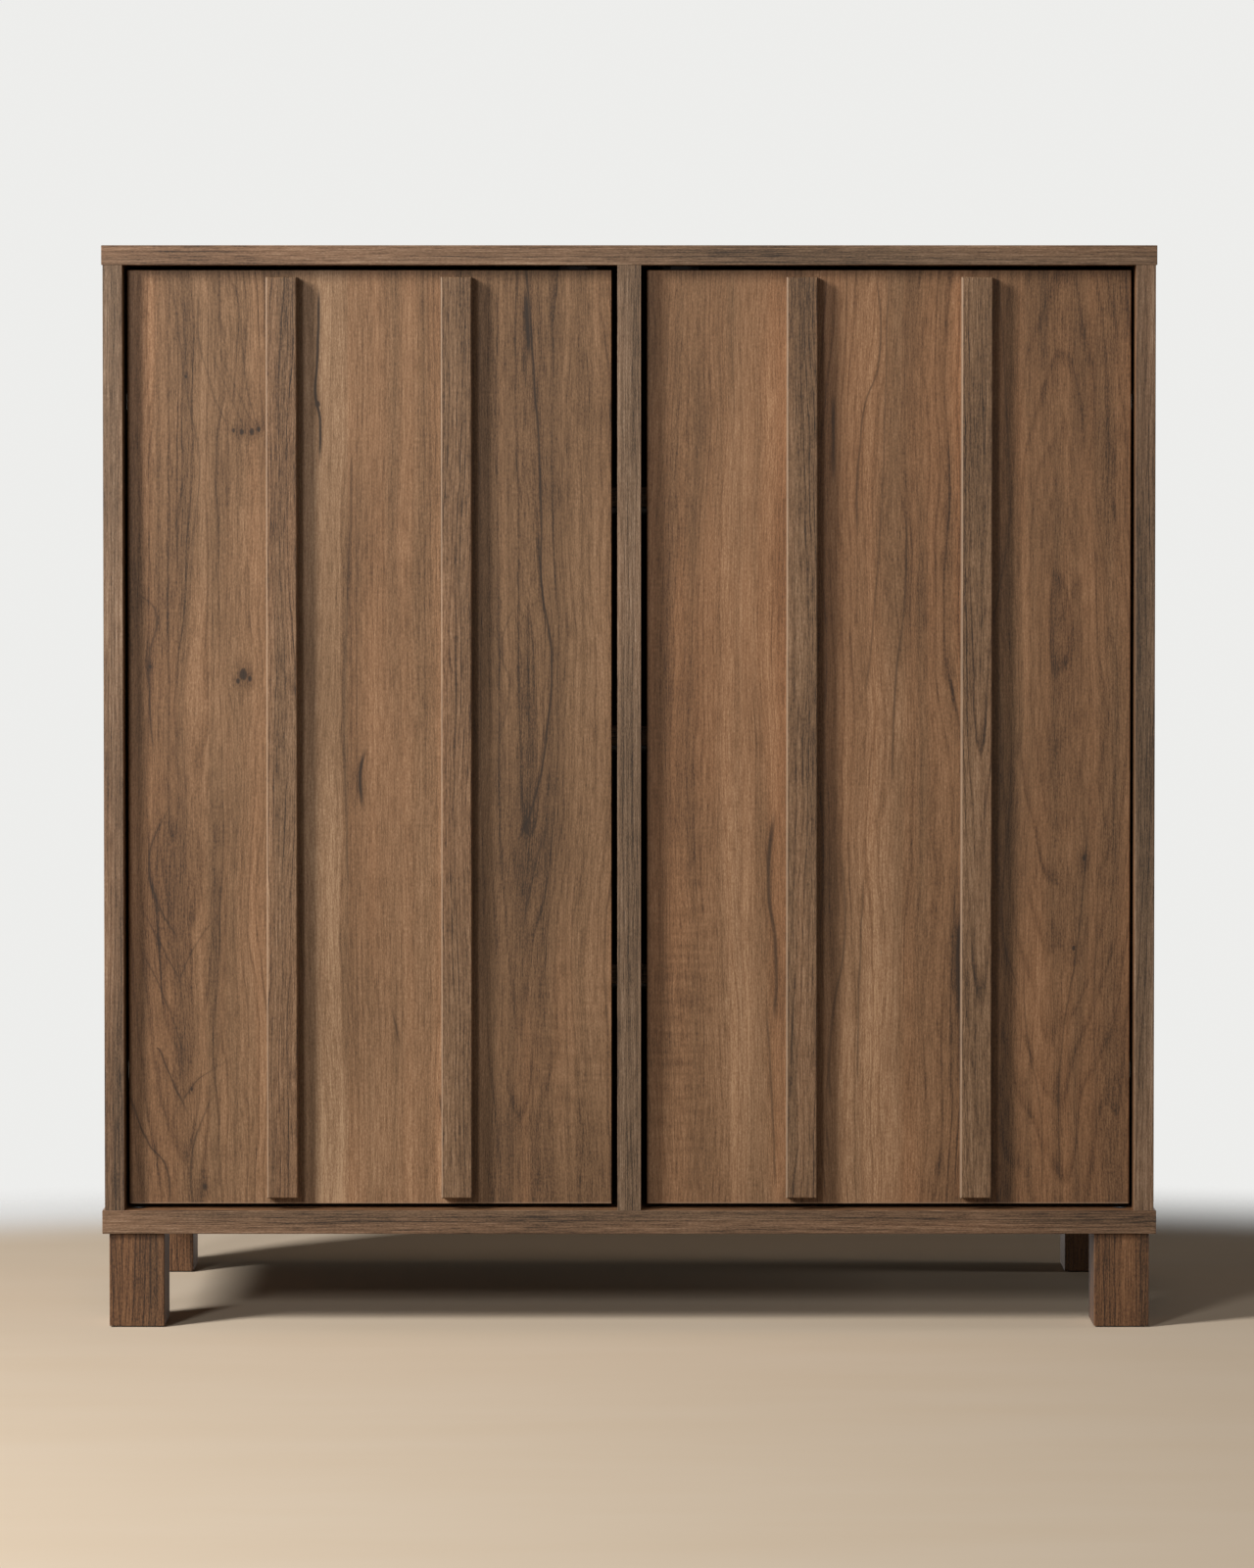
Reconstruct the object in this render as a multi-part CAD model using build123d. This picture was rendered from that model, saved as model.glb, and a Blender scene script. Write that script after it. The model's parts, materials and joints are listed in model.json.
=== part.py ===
from build123d import *
import os
from functools import cache
from math import asin, degrees, hypot

# Two-door shoe cabinet of faced particle board on four block legs, in millimetres.
# Origin: on the floor, under the middle of the cabinet. +X right, +Y to the back, +Z up.

# Carcass
cabinet_width = 800.0        # over the outer faces of the two side panels
cabinet_depth = 350.0
cabinet_height = 825.0
foot_height = 72.0           # floor to the underside of the base panel
side_thickness = 15.0
top_thickness = 15.0
base_thickness = 18.0
divider_thickness = 18.0
back_thickness = 3.0
top_overhang = 1.0           # top panel past each side panel
base_overhang = 2.0          # base panel past each side panel
board_ease = 0.6             # rounding of the exposed long edges
groove_inset = 8.0           # rear edge of a board to the back panel's groove
groove_depth = 6.0
groove_play = 0.1            # back panel to each face of its groove
groove_end_play = 0.5        # back panel's edge to the bottom of its groove

# Legs
leg_width = 42.0
leg_depth = 50.0
leg_side_inset = 3.0         # side panel's outer face to the leg
leg_end_inset = 4.0          # front or rear edge of the base to the leg
leg_ease = 1.0
pad_thickness = 1.0
pad_inset = 3.0

# Shelves and their pins
shelf_count = 3              # in each bay
shelf_thickness = 15.0
shelf_side_play = 0.5
shelf_back_play = 1.0
shelf_door_clearance = 20.0  # door's back face to the shelf's front edge
pin_radius = 2.45
pin_head_radius = 5.0
pin_head_length = 7.0
pin_drop = 2.5               # shelf's underside down to the pin's axis
pin_end_inset = 35.0         # shelf's front or rear edge to its pins
pin_hole_radius = 2.5
pin_hole_web = 2.0           # wood left in the divider between two opposite holes
pin_end_play = 0.5
pin_row_step = 32.0
pin_rows = 3                 # rows of holes to choose from for each shelf

# Doors and their battens
door_recess = 13.0           # carcass front to the door's face
door_thickness = 15.0
door_hinge_gap = 2.5
door_free_gap = 4.5          # door to the divider
door_end_gap = 3.5           # above and below the door
door_ease = 0.5
door_corner_ease = 1.0       # front corner that swings past the side panel
batten_width = 23.5
batten_pitch = 133.0         # the two battens of a door, middle to middle
batten_set_back = 1.0        # carcass front to the batten's face
batten_end_gap = 5.5         # batten's end to the door's end
batten_ease = 1.2
batten_screw_count = 4
batten_screw_end = 60.0      # door's end to its first batten screw
batten_screw_head_radius = 3.6
batten_screw_radius = 1.7
batten_screw_bite = 9.0      # length of the screw in the batten

# Joinery inside the carcass
dowel_radius = 4.0
dowel_flat_depth = 10.0      # length in the top or base panel
dowel_upright_depth = 20.0   # length in the side panel or divider
dowel_offset = 120.0         # either side of the cabinet's middle depth
dowel_play = 0.05
dowel_end_play = 0.5
cam_radius = 7.4
cam_skin = 3.0               # wood left behind the cam's pocket
cam_drop = 24.0              # upright's top end down to the cam's axis
cam_offset = 95.0
cam_play = 0.1
cam_slot_width = 1.6
cam_slot_depth = 2.5
cam_slot_length = 9.0
bolt_radius = 3.4
bolt_thread_radius = 2.5
bolt_thread_length = 10.0
bolt_neck_radius = 2.0
bolt_head_radius = 3.2
bolt_head_length = 2.5
bolt_play = 0.3
base_screw_offset = 80.0
base_screw_head_radius = 4.8
base_screw_radius = 2.5
base_screw_bite = 32.0       # length of the screw in the upright
leg_screw_spacing = 20.0
leg_screw_head_radius = 5.5
leg_screw_radius = 3.0
leg_screw_bite = 37.0
screw_play = 0.05            # screw to its hole
screw_tip = 2.5
drive_width = 1.1            # one arm of the cross recess in a screw's head
drive_depth = 1.4
drive_share = 1.15           # length of the cross recess, in head radii

# Hinges: a cup let into the door's back and a hooked arm on the side panel
hinge_end_distance = 100.0   # door's end to the hinge's middle
pivot_inset = 12.0           # door's hinge edge to the pivot
pivot_front = 7.2            # door's face to the pivot
hinge_pin_radius = 1.5
hinge_pin_play = 0.05
hinge_seat_play = 0.02       # pin in the cup's ears, where it doesn't turn
cup_radius = 17.4
cup_play = 0.1
cup_edge_distance = 5.0      # door's hinge edge to the cup's bore
cup_skin = 3.0               # wood left in front of the cup
cup_wall = 1.0
cup_floor = 0.8
flange_thickness = 1.2
flange_ring_radius = 20.0
flange_edge_inset = 3.5      # door's hinge edge to the flange
flange_offset = 6.0          # cup's middle to the row of flange screws
flange_half_width = 8.0
flange_half_length = 31.0
flange_corner = 7.5
ear_play = 0.3               # hook's side to an ear
ear_thickness = 4.2
ear_reach = 3.5              # pivot to the ear's free side
ear_rise = 3.2               # pivot to the ear's rear edge
hook_half_width = 6.5
hook_thickness = 2.2
hook_start_angle = 5.0       # from the door's plane, at the pivot
hook_clearance = 0.7         # arm to the door's rear corner as it swings
knuckle_radius = 2.7
arm_length = 60.0
arm_half_width = 8.5
arm_wall = 1.5
arm_wall_lift = 3.0          # side panel to the arm's side walls
plate_start = 4.0            # start of the arm's straight part to the mounting plate
plate_length = 52.0
plate_half_width = 6.0
plate_height = 11.0          # side panel to the arm's web
wing_thickness = 2.5
wing_half_width = 8.0
wing_half_length = 24.0
wing_corner = 5.0
wing_screw_offset = 16.0
wing_screw_head_radius = 4.6
wing_screw_radius = 2.5
wing_screw_bite = 11.0
cup_screw_offset = 24.0
cup_screw_head_radius = 3.4
cup_screw_head_height = 1.8
cup_screw_radius = 1.75
cup_screw_bite = 9.5
arm_screw_radius = 2.5
arm_screw_head_radius = 4.0
arm_screw_head_height = 2.5
arm_screw_bite = 7.0

# Push latches under the top panel
latch_divider_offset = 30.0  # divider's face to the latch's middle
latch_width = 14.0
latch_height = 20.0
latch_length = 70.0
latch_door_gap = 4.0         # door's back face to the latch's housing
latch_axis_drop = 11.0       # top panel's underside to the plunger's axis
latch_ease = 1.5
latch_plate_thickness = 2.5
latch_plate_width = 32.0
latch_plate_length = 44.0
latch_plate_corner = 4.0
latch_screw_aside = 11.5
latch_screw_offset = 14.0
latch_screw_head_radius = 3.2
latch_screw_radius = 1.6
latch_screw_bite = 10.0
plunger_radius = 4.0
plunger_play = 0.1
plunger_length = 40.0
plunger_wall = 1.1
plunger_nose = 4.0           # solid front end of the plunger
plunger_round = 1.2
plunger_gap = 0.3            # plunger's tip to the strike on the closed door
latch_bore_depth = 62.0
spring_radius = 2.3          # to the middle of the wire
spring_wire_radius = 0.35
spring_turns = 14
spring_play = 0.05
strike_radius = 6.5
strike_thickness = 1.0
strike_stem_radius = 1.5
strike_stem_length = 8.0

# Levels and faces of the carcass
base_top = foot_height + base_thickness
top_bottom = cabinet_height - top_thickness
opening_height = top_bottom - base_top
front = -cabinet_depth / 2
rear = cabinet_depth / 2
side_outer = cabinet_width / 2
side_inner = side_outer - side_thickness
side_middle = (side_inner + side_outer) / 2
divider_face = divider_thickness / 2
upright_middles = [-side_middle, 0.0, side_middle]
groove_rear = rear - groove_inset
back_rear = groove_rear - groove_play
back_front = back_rear - back_thickness
groove_front = back_front - groove_play
leg_x = side_outer - leg_side_inset - leg_width / 2
leg_y = rear - leg_end_inset - leg_depth / 2
cam_level = top_bottom - cam_drop

# Doors and battens; each pair is drawn for the left and mirrored for the right
door_height = opening_height - 2 * door_end_gap
door_front = front + door_recess
door_back = door_front + door_thickness
door_bottom = base_top + door_end_gap
door_top = top_bottom - door_end_gap
door_hinge_edge = -side_inner + door_hinge_gap
door_free_edge = -divider_face - door_free_gap
door_middle = (door_hinge_edge + door_free_edge) / 2
batten_front = front + batten_set_back
batten_middles = {"outer": door_middle - batten_pitch / 2, "inner": door_middle + batten_pitch / 2}

# Shelves and pins
shelf_front = door_back + shelf_door_clearance
shelf_back = back_front - shelf_back_play
tier_height = (opening_height - shelf_count * shelf_thickness) / (shelf_count + 1)
shelf_levels = [base_top + (i + 1) * tier_height + i * shelf_thickness for i in range(shelf_count)]
pin_hole_depth = (divider_thickness - pin_hole_web) / 2
pin_columns = [shelf_front + pin_end_inset, shelf_back - pin_end_inset]

# Hinges, for the left door
hinge_levels = [door_bottom + hinge_end_distance, door_top - hinge_end_distance]
pivot_x = door_hinge_edge + pivot_inset
pivot_y = door_front + pivot_front
cup_depth = door_thickness - cup_skin
cup_x = door_hinge_edge + cup_edge_distance + cup_radius + cup_play
flange_row = cup_x + flange_offset
flange_face = door_back + flange_thickness
ear_gap = hook_half_width + ear_play
pin_half_length = ear_gap + ear_thickness
hook_inner = hypot(pivot_inset, door_thickness - pivot_front) + hook_clearance
hook_outer = hook_inner + hook_thickness
arm_start = pivot_y + hook_inner
web_low = -side_inner + plate_height
web_high = web_low + hook_thickness
plate_front = arm_start + plate_start
plate_middle = plate_front + plate_length / 2
wing_face = -side_inner + wing_thickness

# Latches, for the left door
latch_x = -divider_face - latch_divider_offset
latch_axis = top_bottom - latch_axis_drop
latch_front = door_back + latch_door_gap
latch_middle = latch_front + latch_length / 2
bore_end = latch_front + latch_bore_depth
plunger_tip = door_back + strike_thickness + plunger_gap


def block(xs, ys, zs):
    # Box between two limits along each axis
    spans = (xs, ys, zs)
    return Pos(*[sum(s) / 2 for s in spans]) * Box(*[abs(s[1] - s[0]) for s in spans])


def rod(start, direction, length, radius):
    # Round bar from a start point along a direction
    along = Plane(origin=start, z_dir=direction)
    return along * Cylinder(radius, length, align=(Align.CENTER, Align.CENTER, Align.MIN))


def face_edges(solid, axis=None):
    # Edges of the solid's front face, all of them or those along an axis
    edges = solid.faces().sort_by(Axis.Y)[0].edges()
    return edges.filter_by(axis) if axis else edges


@cache
def loose_screw(head_radius, radius, length):
    # Countersunk screw along +Z, with its flat head at the origin and a cross recess
    head = head_radius - radius
    outline = Polyline((0, 0), (head_radius, 0), (radius, head), (radius, length - screw_tip),
                       (0, length), close=True)
    body = revolve(Plane.XZ * make_face(outline), Axis.Z)
    arm = Box(drive_share * head_radius, drive_width, 2 * drive_depth)
    return body - arm - Rot(0, 0, 90) * arm


def screw(start, direction, head_radius, radius, length):
    return Plane(origin=start, z_dir=direction) * loose_screw(head_radius, radius, length)


def screw_hole(start, direction, head_radius, radius, length):
    # The space that such a screw takes, with its play
    head = head_radius - radius
    wide = head_radius + screw_play
    slim = radius + screw_play
    outline = Polyline((0, 0), (wide, 0), (slim, head), (slim, length + screw_play),
                       (0, length + screw_play), close=True)
    return Plane(origin=start, z_dir=direction) * revolve(Plane.XZ * make_face(outline), Axis.Z)


@cache
def loose_head(radius, height):
    # Low drum with a rounded rim and a cross recess
    drum = Cylinder(radius, height, align=(Align.CENTER, Align.CENTER, Align.MIN))
    drum = fillet(drum.edges().filter_by(GeomType.CIRCLE).sort_by(Axis.Z)[-1:], height / 2)
    arm = Pos(0, 0, height) * Box(drive_share * radius, drive_width, drive_depth)
    return drum - arm - Rot(0, 0, 90) * arm


def round_head(start, direction, radius, height):
    return Plane(origin=start, z_dir=direction) * loose_head(radius, height)


def to_right(shape):
    return mirror(shape, about=Plane.YZ)


def both_halves(shapes):
    shapes = list(shapes)
    return shapes + [to_right(shape) for shape in shapes]


# ---- What holds the boards together

def dowels(play=0.0, end_play=0.0):
    span = dowel_flat_depth + dowel_upright_depth + 2 * end_play
    for x in upright_middles:
        for y in (-dowel_offset, dowel_offset):
            low = (x, y, base_top - dowel_flat_depth - end_play)
            high = (x, y, top_bottom + dowel_flat_depth + end_play)
            yield rod(low, (0, 0, 1), span, dowel_radius + play)
            yield rod(high, (0, 0, -1), span, dowel_radius + play)


def cam_seats():
    # Start, direction and depth of each cam's pocket, and the bolt's x
    for y in (-cam_offset, cam_offset):
        yield (-side_inner, y, cam_level), (-1, 0, 0), side_thickness - cam_skin, -side_middle
        yield (side_inner, y, cam_level), (1, 0, 0), side_thickness - cam_skin, side_middle
        yield (-divider_face, y, cam_level), (1, 0, 0), divider_thickness - cam_skin, 0.0


def cam_bolt(x, y):
    head = rod((x, y, cam_level - bolt_head_length / 2), (0, 0, 1), bolt_head_length, bolt_head_radius)
    neck = rod((x, y, cam_level), (0, 0, 1), cam_radius, bolt_neck_radius)
    shank = rod((x, y, cam_level + cam_radius), (0, 0, 1), cam_drop - cam_radius, bolt_radius)
    thread = rod((x, y, top_bottom), (0, 0, 1), bolt_thread_length, bolt_thread_radius)
    return head + neck + shank + thread


def bolt_space(x, y):
    low = cam_level - bolt_head_radius - bolt_play
    shank = rod((x, y, low), (0, 0, 1), top_bottom - low, bolt_radius + bolt_play)
    thread = rod((x, y, top_bottom), (0, 0, 1), bolt_thread_length + bolt_play,
                 bolt_thread_radius + screw_play)
    return shank + thread


def cam_lock(start, direction, depth, x):
    # Drum with a slot in its face, hollow where the bolt's head enters it
    drum = rod(start, direction, depth - cam_play, cam_radius)
    low = cam_level - bolt_head_radius - bolt_play
    entry = rod((x, start[1], low), (0, 0, 1), 2 * cam_radius, bolt_radius + bolt_play)
    slot = block((start[0] - cam_slot_depth, start[0] + cam_slot_depth),
                 (start[1] - cam_slot_width / 2, start[1] + cam_slot_width / 2),
                 (cam_level - cam_slot_length / 2, cam_level + cam_slot_length / 2))
    return drum - entry - slot


def cam_holes():
    for start, direction, depth, x in cam_seats():
        yield rod(start, direction, depth, cam_radius + cam_play)
        yield bolt_space(x, start[1])


def base_screw_seats():
    for x in upright_middles:
        for y in (-base_screw_offset, base_screw_offset):
            yield ((x, y, foot_height), (0, 0, 1), base_screw_head_radius, base_screw_radius,
                   base_thickness + base_screw_bite)


def leg_screw_seats():
    for x in (-leg_x, leg_x):
        for middle in (-leg_y, leg_y):
            for y in (middle - leg_screw_spacing / 2, middle + leg_screw_spacing / 2):
                yield ((x, y, base_top), (0, 0, -1), leg_screw_head_radius, leg_screw_radius,
                       base_thickness + leg_screw_bite)


def drilled_faces():
    # Name and x of each drilled face, and the direction out of the wood
    return [("left", -side_inner, 1), ("divider", -divider_face, -1),
            ("divider", divider_face, 1), ("right", side_inner, -1)]


def shelf_pins():
    reach = 2 * pin_head_radius
    for _, face, out in drilled_faces():
        for level in shelf_levels:
            for y in pin_columns:
                at = (face, y, level - pin_drop)
                stem = rod(at, (-out, 0, 0), pin_hole_depth - pin_end_play, pin_radius)
                head = rod(at, (out, 0, 0), pin_head_length, pin_head_radius)
                above = block((face - reach, face + reach), (y - reach, y + reach), (level, level + reach))
                yield stem + (head - above)


def pin_holes(board):
    middle = (pin_rows - 1) / 2
    for name, face, out in drilled_faces():
        for level in shelf_levels if name == board else []:
            for row in range(pin_rows):
                z = level - pin_drop + (row - middle) * pin_row_step
                for y in pin_columns:
                    yield rod((face, y, z), (-out, 0, 0), pin_hole_depth, pin_hole_radius)


# ---- Boards, legs and shelves

def back_groove():
    reach = side_inner + groove_depth
    return block((-reach, reach), (groove_front, groove_rear),
                 (base_top - groove_depth, top_bottom + groove_depth))


def flat_board(overhang, low, high):
    # Top or base panel, with its front and end edges rounded
    reach = side_outer + overhang
    board = block((-reach, reach), (front, rear), (low, high))
    board = fillet(face_edges(board) + board.edges().filter_by(Axis.Y), board_ease)
    return board - back_groove() - list(dowels(dowel_play, dowel_end_play))


def top_panel():
    board = flat_board(top_overhang, top_bottom, cabinet_height)
    bolts = [bolt_space(x, start[1]) for start, _, _, x in cam_seats()]
    screws = both_halves(screw_hole(*seat) for seat in latch_screw_seats())
    return board - bolts - screws


def base_panel():
    board = flat_board(base_overhang, foot_height, base_top)
    return board - [screw_hole(*seat) for seat in (*base_screw_seats(), *leg_screw_seats())]


def upright(xs, end, name):
    # Side panel or divider, with the holes that both kinds share
    board = block(xs, (front, end), (base_top, top_bottom))
    board = fillet(face_edges(board, Axis.Z), board_ease)
    holes = [*dowels(dowel_play, dowel_end_play), *cam_holes(), *pin_holes(name)]
    return board - holes - [screw_hole(*seat) for seat in base_screw_seats()]


def side_panel():
    board = upright((-side_outer, -side_inner), rear, "left")
    return board - back_groove() - [screw_hole(*seat) for seat in wing_screw_seats()]


def centre_divider():
    return upright((-divider_face, divider_face), groove_front, "divider")


def back_panel():
    grip = groove_depth - groove_end_play
    reach = side_inner + grip
    return block((-reach, reach), (back_front, back_rear), (base_top - grip, top_bottom + grip))


def shelf(level):
    xs = (-side_inner + shelf_side_play, -divider_face - shelf_side_play)
    board = block(xs, (shelf_front, shelf_back), (level, level + shelf_thickness))
    return fillet(face_edges(board, Axis.X), board_ease)


def leg_block(x, y, inset, low, high):
    half_width = leg_width / 2 - inset
    half_depth = leg_depth / 2 - inset
    return block((x - half_width, x + half_width), (y - half_depth, y + half_depth), (low, high))


def leg(x, y):
    post = leg_block(x, y, 0, pad_thickness, foot_height)
    post = fillet(post.edges().filter_by(Axis.Z), leg_ease)
    return post - [screw_hole(*seat) for seat in leg_screw_seats()]


def leg_pads():
    for x in (-leg_x, leg_x):
        for y in (-leg_y, leg_y):
            yield leg_block(x, y, pad_inset, 0, pad_thickness)


# ---- Doors

def batten_screw_seats():
    step = (door_height - 2 * batten_screw_end) / (batten_screw_count - 1)
    for x in batten_middles.values():
        for i in range(batten_screw_count):
            yield ((x, door_back, door_bottom + batten_screw_end + i * step), (0, -1, 0),
                   batten_screw_head_radius, batten_screw_radius, door_thickness + batten_screw_bite)


def batten(x):
    half = batten_width / 2
    strip = block((x - half, x + half), (batten_front, door_front),
                  (door_bottom + batten_end_gap, door_top - batten_end_gap))
    strip = fillet(face_edges(strip), batten_ease)
    return strip - [screw_hole(*seat) for seat in batten_screw_seats()]


def cup_screw_points():
    for z in hinge_levels:
        for offset in (-cup_screw_offset, cup_screw_offset):
            yield flange_row, flange_face, z + offset


def door_panel():
    board = block((door_hinge_edge, door_free_edge), (door_front, door_back), (door_bottom, door_top))
    board = fillet(face_edges(board, Axis.X) + face_edges(board, Axis.Z).sort_by(Axis.X)[-1:], door_ease)
    board = fillet(board.edges().filter_by(Axis.Z).sort_by(Axis.X)[:2].sort_by(Axis.Y)[:1],
                   door_corner_ease)
    cups = [rod((cup_x, door_back, z), (0, -1, 0), cup_depth, cup_radius + cup_play) for z in hinge_levels]
    screws = [rod(at, (0, -1, 0), flange_thickness + cup_screw_bite + screw_play,
                  cup_screw_radius + screw_play) for at in cup_screw_points()]
    stem = rod((latch_x, door_back, latch_axis), (0, -1, 0), strike_stem_length + screw_play,
               strike_stem_radius + screw_play)
    return board - cups - screws - stem - [screw_hole(*seat) for seat in batten_screw_seats()]


# ---- Hinges: each function draws the piece of the left door's hinge at level z

def hinge_rod(z, half_length, radius):
    return rod((pivot_x, pivot_y, z - half_length), (0, 0, 1), 2 * half_length, radius)


def hinge_flange(z):
    ys = (door_back, flange_face)
    ring = rod((cup_x, door_back, z), (0, 1, 0), flange_thickness, flange_ring_radius)
    ring &= block((door_hinge_edge + flange_edge_inset, cup_x + flange_ring_radius), ys,
                  (z - flange_ring_radius, z + flange_ring_radius))
    plate = block((flange_row - flange_half_width, flange_row + flange_half_width), ys,
                  (z - flange_half_length, z + flange_half_length))
    return ring + fillet(plate.edges().filter_by(Axis.Y), flange_corner)


def hinge_cup(z):
    shell_depth = cup_depth - cup_play
    floor = door_back - shell_depth
    shell = rod((cup_x, door_back, z), (0, -1, 0), shell_depth, cup_radius)
    hollow = rod((cup_x, flange_face, z), (0, -1, 0), flange_face - floor - cup_floor,
                 cup_radius - cup_wall)
    cup = shell + hinge_flange(z) - hollow
    ears = block((cup_x - cup_radius, pivot_x + ear_reach), (floor, pivot_y + ear_rise),
                 (z - pin_half_length, z + pin_half_length))
    ears -= block((cup_x - cup_radius, pivot_x + ear_reach), (floor + cup_floor, pivot_y + ear_rise),
                  (z - ear_gap, z + ear_gap))
    cup += ears & shell
    holes = [rod(at, (0, -1, 0), flange_thickness, cup_screw_radius + screw_play)
             for at in cup_screw_points()]
    return cup - hinge_rod(z, pin_half_length, hinge_pin_radius + hinge_seat_play) - holes


def hook_outline():
    # Plan of the hook: a straight leg out from the pivot, then an arc back round the door's corner
    half = hook_thickness / 2
    middle = hook_inner + half
    straight = Rot(0, 0, hook_start_angle) * Pos(middle / 2, 0) * Rectangle(middle, hook_thickness)
    sweep = 90 + degrees(asin((pivot_x - web_low) / hook_inner)) - hook_start_angle
    outer = CenterArc((0, 0), hook_outer, hook_start_angle, sweep)
    inner = CenterArc((0, 0), hook_inner, hook_start_angle, sweep)
    arc = make_face([outer, inner, Line(outer @ 0, inner @ 0), Line(outer @ 1, inner @ 1)])
    tip = Rot(0, 0, hook_start_angle) * Pos(middle, 0) * Circle(half)
    return Pos(pivot_x, pivot_y) * (straight + arc + tip)


def hinge_arm(z):
    arm_end = arm_start + arm_length
    wide_start = arm_start + hook_thickness
    arm = Pos(0, 0, z - hook_half_width) * extrude(hook_outline(), 2 * hook_half_width, dir=(0, 0, 1))
    arm += hinge_rod(z, hook_half_width, knuckle_radius)
    arm += block((web_low, web_high), (arm_start, arm_end), (z - hook_half_width, z + hook_half_width))
    arm += block((-side_inner + arm_wall_lift, web_high), (wide_start, arm_end),
                 (z - arm_half_width, z + arm_half_width))
    inner = arm_half_width - arm_wall
    arm -= block((-side_inner + arm_wall_lift, web_low), (wide_start, arm_end), (z - inner, z + inner))
    hole = rod((web_high, plate_middle, z), (-1, 0, 0), hook_thickness, arm_screw_radius + screw_play)
    return arm - hinge_rod(z, hook_half_width, hinge_pin_radius + hinge_pin_play) - hole


def wing_screw_seats():
    for z in hinge_levels:
        for offset in (-wing_screw_offset, wing_screw_offset):
            yield ((wing_face, plate_middle, z + offset), (-1, 0, 0), wing_screw_head_radius,
                   wing_screw_radius, wing_thickness + wing_screw_bite)


def hinge_plate(z):
    rib = block((-side_inner, web_low), (plate_front, plate_front + plate_length),
                (z - plate_half_width, z + plate_half_width))
    wings = block((-side_inner, wing_face), (plate_middle - wing_half_width, plate_middle + wing_half_width),
                  (z - wing_half_length, z + wing_half_length))
    wings = fillet(wings.edges().filter_by(Axis.X), wing_corner)
    tapped = rod((web_low, plate_middle, z), (-1, 0, 0), arm_screw_bite + screw_play,
                 arm_screw_radius + screw_play)
    return rib + wings - tapped - [screw_hole(*seat) for seat in wing_screw_seats()]


def cup_screws():
    for at in cup_screw_points():
        shank = rod(at, (0, -1, 0), flange_thickness + cup_screw_bite, cup_screw_radius)
        yield shank + round_head(at, (0, 1, 0), cup_screw_head_radius, cup_screw_head_height)


def arm_screws():
    for z in hinge_levels:
        at = (web_high, plate_middle, z)
        shank = rod(at, (-1, 0, 0), hook_thickness + arm_screw_bite, arm_screw_radius)
        yield shank + round_head(at, (1, 0, 0), arm_screw_head_radius, arm_screw_head_height)


# ---- Push latches, for the left door

def latch_screw_seats():
    for turn in (-1, 1):
        yield ((latch_x + turn * latch_screw_aside, latch_middle + turn * latch_screw_offset,
                top_bottom - latch_plate_thickness), (0, 0, 1), latch_screw_head_radius,
               latch_screw_radius, latch_plate_thickness + latch_screw_bite)


def latch_housing():
    body = block((latch_x - latch_width / 2, latch_x + latch_width / 2),
                 (latch_front, latch_front + latch_length), (top_bottom - latch_height, top_bottom))
    body = fillet(body.faces().sort_by(Axis.Z)[0].edges(), latch_ease)
    plate = block((latch_x - latch_plate_width / 2, latch_x + latch_plate_width / 2),
                  (latch_middle - latch_plate_length / 2, latch_middle + latch_plate_length / 2),
                  (top_bottom - latch_plate_thickness, top_bottom))
    plate = fillet(plate.edges().filter_by(Axis.Z), latch_plate_corner)
    bore = rod((latch_x, latch_front, latch_axis), (0, 1, 0), latch_bore_depth,
               plunger_radius + plunger_play)
    return body + plate - bore - [screw_hole(*seat) for seat in latch_screw_seats()]


def latch_plunger():
    body = rod((latch_x, plunger_tip, latch_axis), (0, 1, 0), plunger_length, plunger_radius)
    body = fillet(body.edges().filter_by(GeomType.CIRCLE).sort_by(Axis.Y)[:1], plunger_round)
    hollow = rod((latch_x, plunger_tip + plunger_nose, latch_axis), (0, 1, 0), plunger_length,
                 plunger_radius - plunger_wall)
    return body - hollow


def latch_spring():
    # From the bottom of the plunger's hollow to the end of the housing's bore
    start = plunger_tip + plunger_nose + spring_wire_radius + spring_play
    length = bore_end - spring_wire_radius - spring_play - start
    path = Helix(length / spring_turns, length, spring_radius)
    wire = sweep(Plane(origin=path @ 0, z_dir=path % 0) * Circle(spring_wire_radius), path,
                 is_frenet=True)
    return Plane(origin=(latch_x, start, latch_axis), z_dir=(0, 1, 0)) * wire


def latch_strike():
    disc = rod((latch_x, door_back, latch_axis), (0, 1, 0), strike_thickness, strike_radius)
    return disc + rod((latch_x, door_back, latch_axis), (0, -1, 0), strike_stem_length, strike_stem_radius)


# ---- The whole cabinet, one file for each node

pieces = {
    "top_panel": [top_panel()],
    "base_panel": [base_panel()],
    "centre_divider": [centre_divider()],
    "back_panel": [back_panel()],
    "leg_pads": list(leg_pads()),
    "leg_screws": [screw(*seat) for seat in leg_screw_seats()],
    "base_screws": [screw(*seat) for seat in base_screw_seats()],
    "dowels": list(dowels()),
    "cam_locks": [cam_lock(*seat) for seat in cam_seats()],
    "cam_bolts": [cam_bolt(x, start[1]) for start, _, _, x in cam_seats()],
    "shelf_pins": list(shelf_pins()),
    "hinge_plate_screws": both_halves(screw(*seat) for seat in wing_screw_seats()),
    "hinge_arm_screws": both_halves(arm_screws()),
    "latch_screws": both_halves(screw(*seat) for seat in latch_screw_seats()),
}
for end, y in (("front", -leg_y), ("back", leg_y)):
    for side, x in (("left", -leg_x), ("right", leg_x)):
        pieces[f"leg_{end}_{side}"] = [leg(x, y)]

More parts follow.
